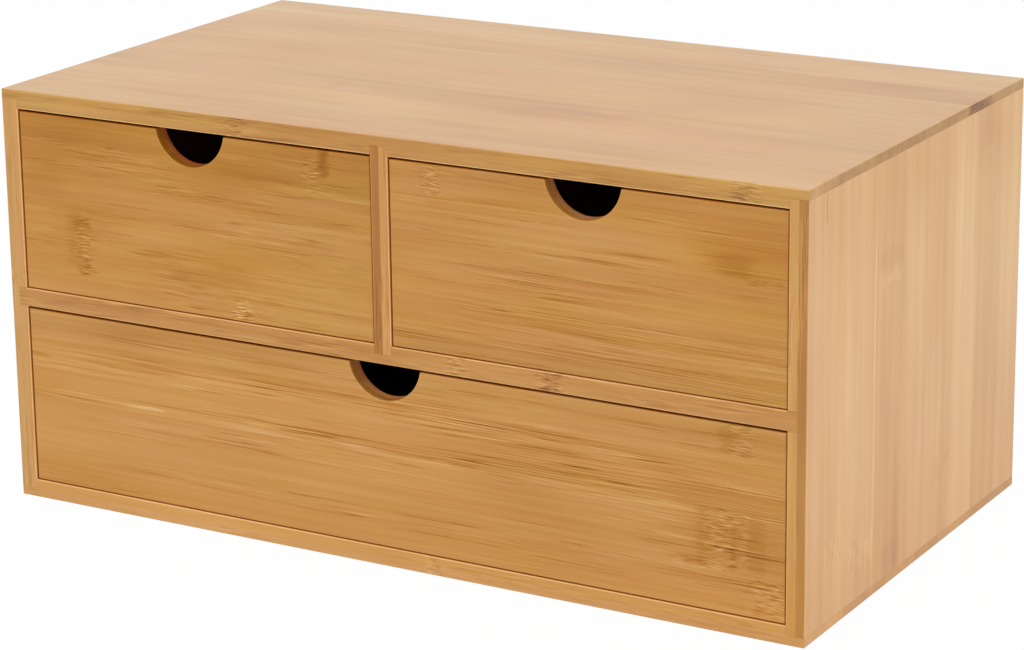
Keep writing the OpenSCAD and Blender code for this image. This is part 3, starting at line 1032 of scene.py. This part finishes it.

# %% [markdown]
# ## Case
# The case boards are calmer and paler than the fronts, with glued strips that are easy to
# tell apart on the right side and broad soft clouds on the top. Their long edges show two
# plies, and the sawn ends of the top and the bottom show at the right, stained towards the
# corners. A board that looks into the case is dull on that side.

# %% Marks of the side and the top
# The first three clouds are painted light and shade on the side: darker towards the top, and paler
# low down towards the back.
side_marks = [
    cloud(84, 0, 44, ALL, 0.055), cloud(-82, 50, 44, 60, -0.04), cloud(84, 50, 30, 30, 0.03),
    stain_and_painted_light(-45, -99, 42, 3, -0.03),
    *each(strip, (-91.5, 7.5, 0.02), (-73, 11, -0.01), (-51, 11, -0.01), (-27.5, 12.5, 0.055),
          (26.5, 5.5, 0.04), (42.5, 10.5, -0.06), (65.5, 12.5, 0.045)),
    stain_and_painted_light(43, -27.5, 6, 11.5, 0.06), knuckle(36, -27.5, 4, 11, 0.17, -0.02),
    stain_and_painted_light(66, 65.5, 14, 12, 0.05), knuckle(63, 64, 2.5, 5, 0.12, -0.06),
    knuckle(-55, -73, 9, 10.5, 0.18), knuckle(-64, -51, 8, 10.5, 0.27, -0.02),
    knuckle(-53, 22, 6, 9, 0.18, 0.04), stain_and_painted_light(-74, -24, 9, 9, 0.06),
    *each(vein, (76, -84, 9, 0.3, 0.5), (74, -56, 6, 0.26), (10, -41, 90, -0.12, 1.2),
          (44, 5, 34, 0.16), (30, 52.5, 26, 0.16), (-10, -63, 60, 0.08), (-20, 33, 60, 0.08),
          (20, -14, 70, 0.1))]
# The drifts that span the side's whole depth shift its hue from bottom to top, with the same
# painted light and shade.
side_drifts = each(drift, (82, 0, 40, ALL, 0.03), (-80, 0, 24, ALL, -0.03),
                   (-72, 0, 44, ALL, -0.045), (76, 0, 18, ALL, -0.025), (15, 72, 50, 30, 0.035),
                   (15, -5, 55, 11, 0.03))
top_marks = [
    *each(strip, (78, 11, -0.03), (56, 11, 0.03), (34, 11, -0.005), (-32, 11, 0.02),
          (-54, 11, -0.015), (-76, 11, 0.035)),
    stain_and_painted_light(155, 56, 60, 10.5, 0.06, 0.1), stain_and_painted_light(-60, -34, 5, 8, 0.06), stain_and_painted_light(46, -38, 30, 10, 0.04),
    knuckle(60, -28, 6, 3, 0.16, -0.02), stain_and_painted_light(-105, 27, 35, 7, 0.03),
    cloud(-20, 77, 120, 13, -0.05), stain_and_painted_light(-70, -77, 90, 9, 0.03, 0.7),
    stain_and_painted_light(120, -78, 60, 9, 0.03, 0.7), cloud(35, -50, 55, 22, -0.03),
    knuckle(-64, -99, 6, 1.5, 0.3, 0.04), knuckle(151.7, -99, 8, 1.5, 0.3, 0.04)]
top_end = [
    stain_and_painted_light(0, -86, 400, 14, -0.1, 0.6), stain_and_painted_light(0, 18, 400, 48, 0.03, 0.3),
    knuckle(0, 52, 400, 10, 0.35, 0.16), stain_and_painted_light(0, 84, 400, 14, -0.02, 0.6)]
top_drifts = each(drift, (60, -25, 80, 60, -0.03), (0, 88, ALL, 16, 0.03), (-172, 0, 50, ALL, 0.05),
                  (0, 90, ALL, 28, 0.045), (168, 0, 40, ALL, 0.035))
print("marks:", len(side_marks), "on the side and", len(top_marks), "on the top")

# %% Case boards
case_wood = {"Streak contrast": 0.26, "Edge streaks": 0.8, "Band contrast": 0.35,
             "Shade contrast": 0.1, "Strip contrast": 0.1}
case_boards = [
    ("top_panel", "X", "Y", 11, -1,
     {"Face tone": 0.56, "Edge tone": 0.435, "Edge streaks": 0.6, "Edge tint": (1, 1.06, 0.8),
      "Ply tint": (1, 1.05, 0.9), "Strip shift": 1, "Streak contrast": 0.1, "Fibre length": 0.5,
      "Hue contrast": 1.3, "Band contrast": 0.44, "Shade contrast": 0.24, "Inner wear and highlight": 0.45,
      "Strip contrast": 0.01},
     {"Marks": top_marks, "End marks": top_end, "Paleness": top_drifts}),
    ("bottom_panel", "X", "Y", 12, 1,
     {"Face tone": 0.55, "Edge tone": 0.595, "Edge streaks": 0.5, "Edge tint": (1.03, 1, 0.71),
      "Ply tint": (1.03, 1, 0.92)},
     {"Marks": [knuckle(20.6, -99, 5, 1.5, 0.3, 0.04)],
      "End marks": [stain_and_painted_light(0, -85, 400, 30, -0.08, 0.6)]}),
    ("middle_shelf", "X", "Y", 13, "both",
     {"Face tone": 0.52, "Edge tone": 0.45, "Edge tint": (1, 0.97, 0.82), "Ply tint": (1, 1, 0.96)},
     {"Marks": [knuckle(31.7, -95, 5, 3, 0.4, 0.02), knuckle(72, -95, 7, 3, 0.45, 0.1)]}),
    ("left_side_panel", "Z", "Y", 14, -1,
     {"Face tone": 0.58, "Edge tone": 0.49, "Edge tint": (0.96, 1, 0.94), "Ply tint": (1, 1, 0.94)},
     {"Marks": [knuckle(7.5, -99, 4, 1.5, 0.3, 0.05)]}),
    ("right_side_panel", "Z", "Y", 15, 1,
     {"Face tone": 0.665, "Edge tone": 0.455, "Edge tint": (1, 1.02, 0.84),
      "Ply tint": (1.03, 1.06, 0.92), "Ply contrast": 0.17, "Fibre length": 0.9,
      "Hue contrast": 0.9, "Streak contrast": 0.15, "Band contrast": 0.48, "Shade contrast": 0.16,
      "Strip width": 22.4, "Strip shift": 5.6, "Strip contrast": 0.02},
     {"Marks": side_marks, "Paleness": side_drifts}),
    ("divider", "Z", "Y", 16, "both",
     {"Face tone": 0.52, "Edge tone": 0.39, "Edge tint": (1, 0.94, 0.48),
      "Ply tint": (1, 0.93, 0.82), "Ply contrast": -0.22}, {}),
    ("back_panel", "X", "Z", 17, 1, {"Face tone": 0.58, "Chance knuckles": 1}, {}),
]
for name, grain, across, seed, inside, choices, chains in case_boards:
    dress(name, bamboo(name, grain, across, seed, inside, {**case_wood, **choices}, chains))
print("case boards:", len(case_boards))

# %% [markdown]
# ## Drawer boxes
# The sides, back and bottom of a drawer show only when it is pulled out. They are plain
# boards with a thin coat, so the knuckles fall where chance puts them, and each board only
# needs a seed of its own.

# %% Drawer boxes
box_wood = {"Face tone": 0.55, "Edge tone": 0.48, "Coat": 0.1, "Chance knuckles": 1.0}
box_parts = (("left_side", "Y", "Z"), ("right_side", "Y", "Z"), ("back", "X", "Z"),
             ("bottom", "X", "Y"))
first_box_seed, drawer_seed_step = 20.0, 7
for number, drawer in enumerate(("left", "right", "wide")):
    for part, grain, across in box_parts:
        name = f"{drawer}_drawer_{part}"
        seed = first_box_seed + drawer_seed_step * number + len(part)
        dress(name, bamboo(name, grain, across, seed, None, box_wood))
print("dressed:", len(boards))

# %% [markdown]
# ## Sizes
# The looks never change the object's size.


print("all boards are dressed")
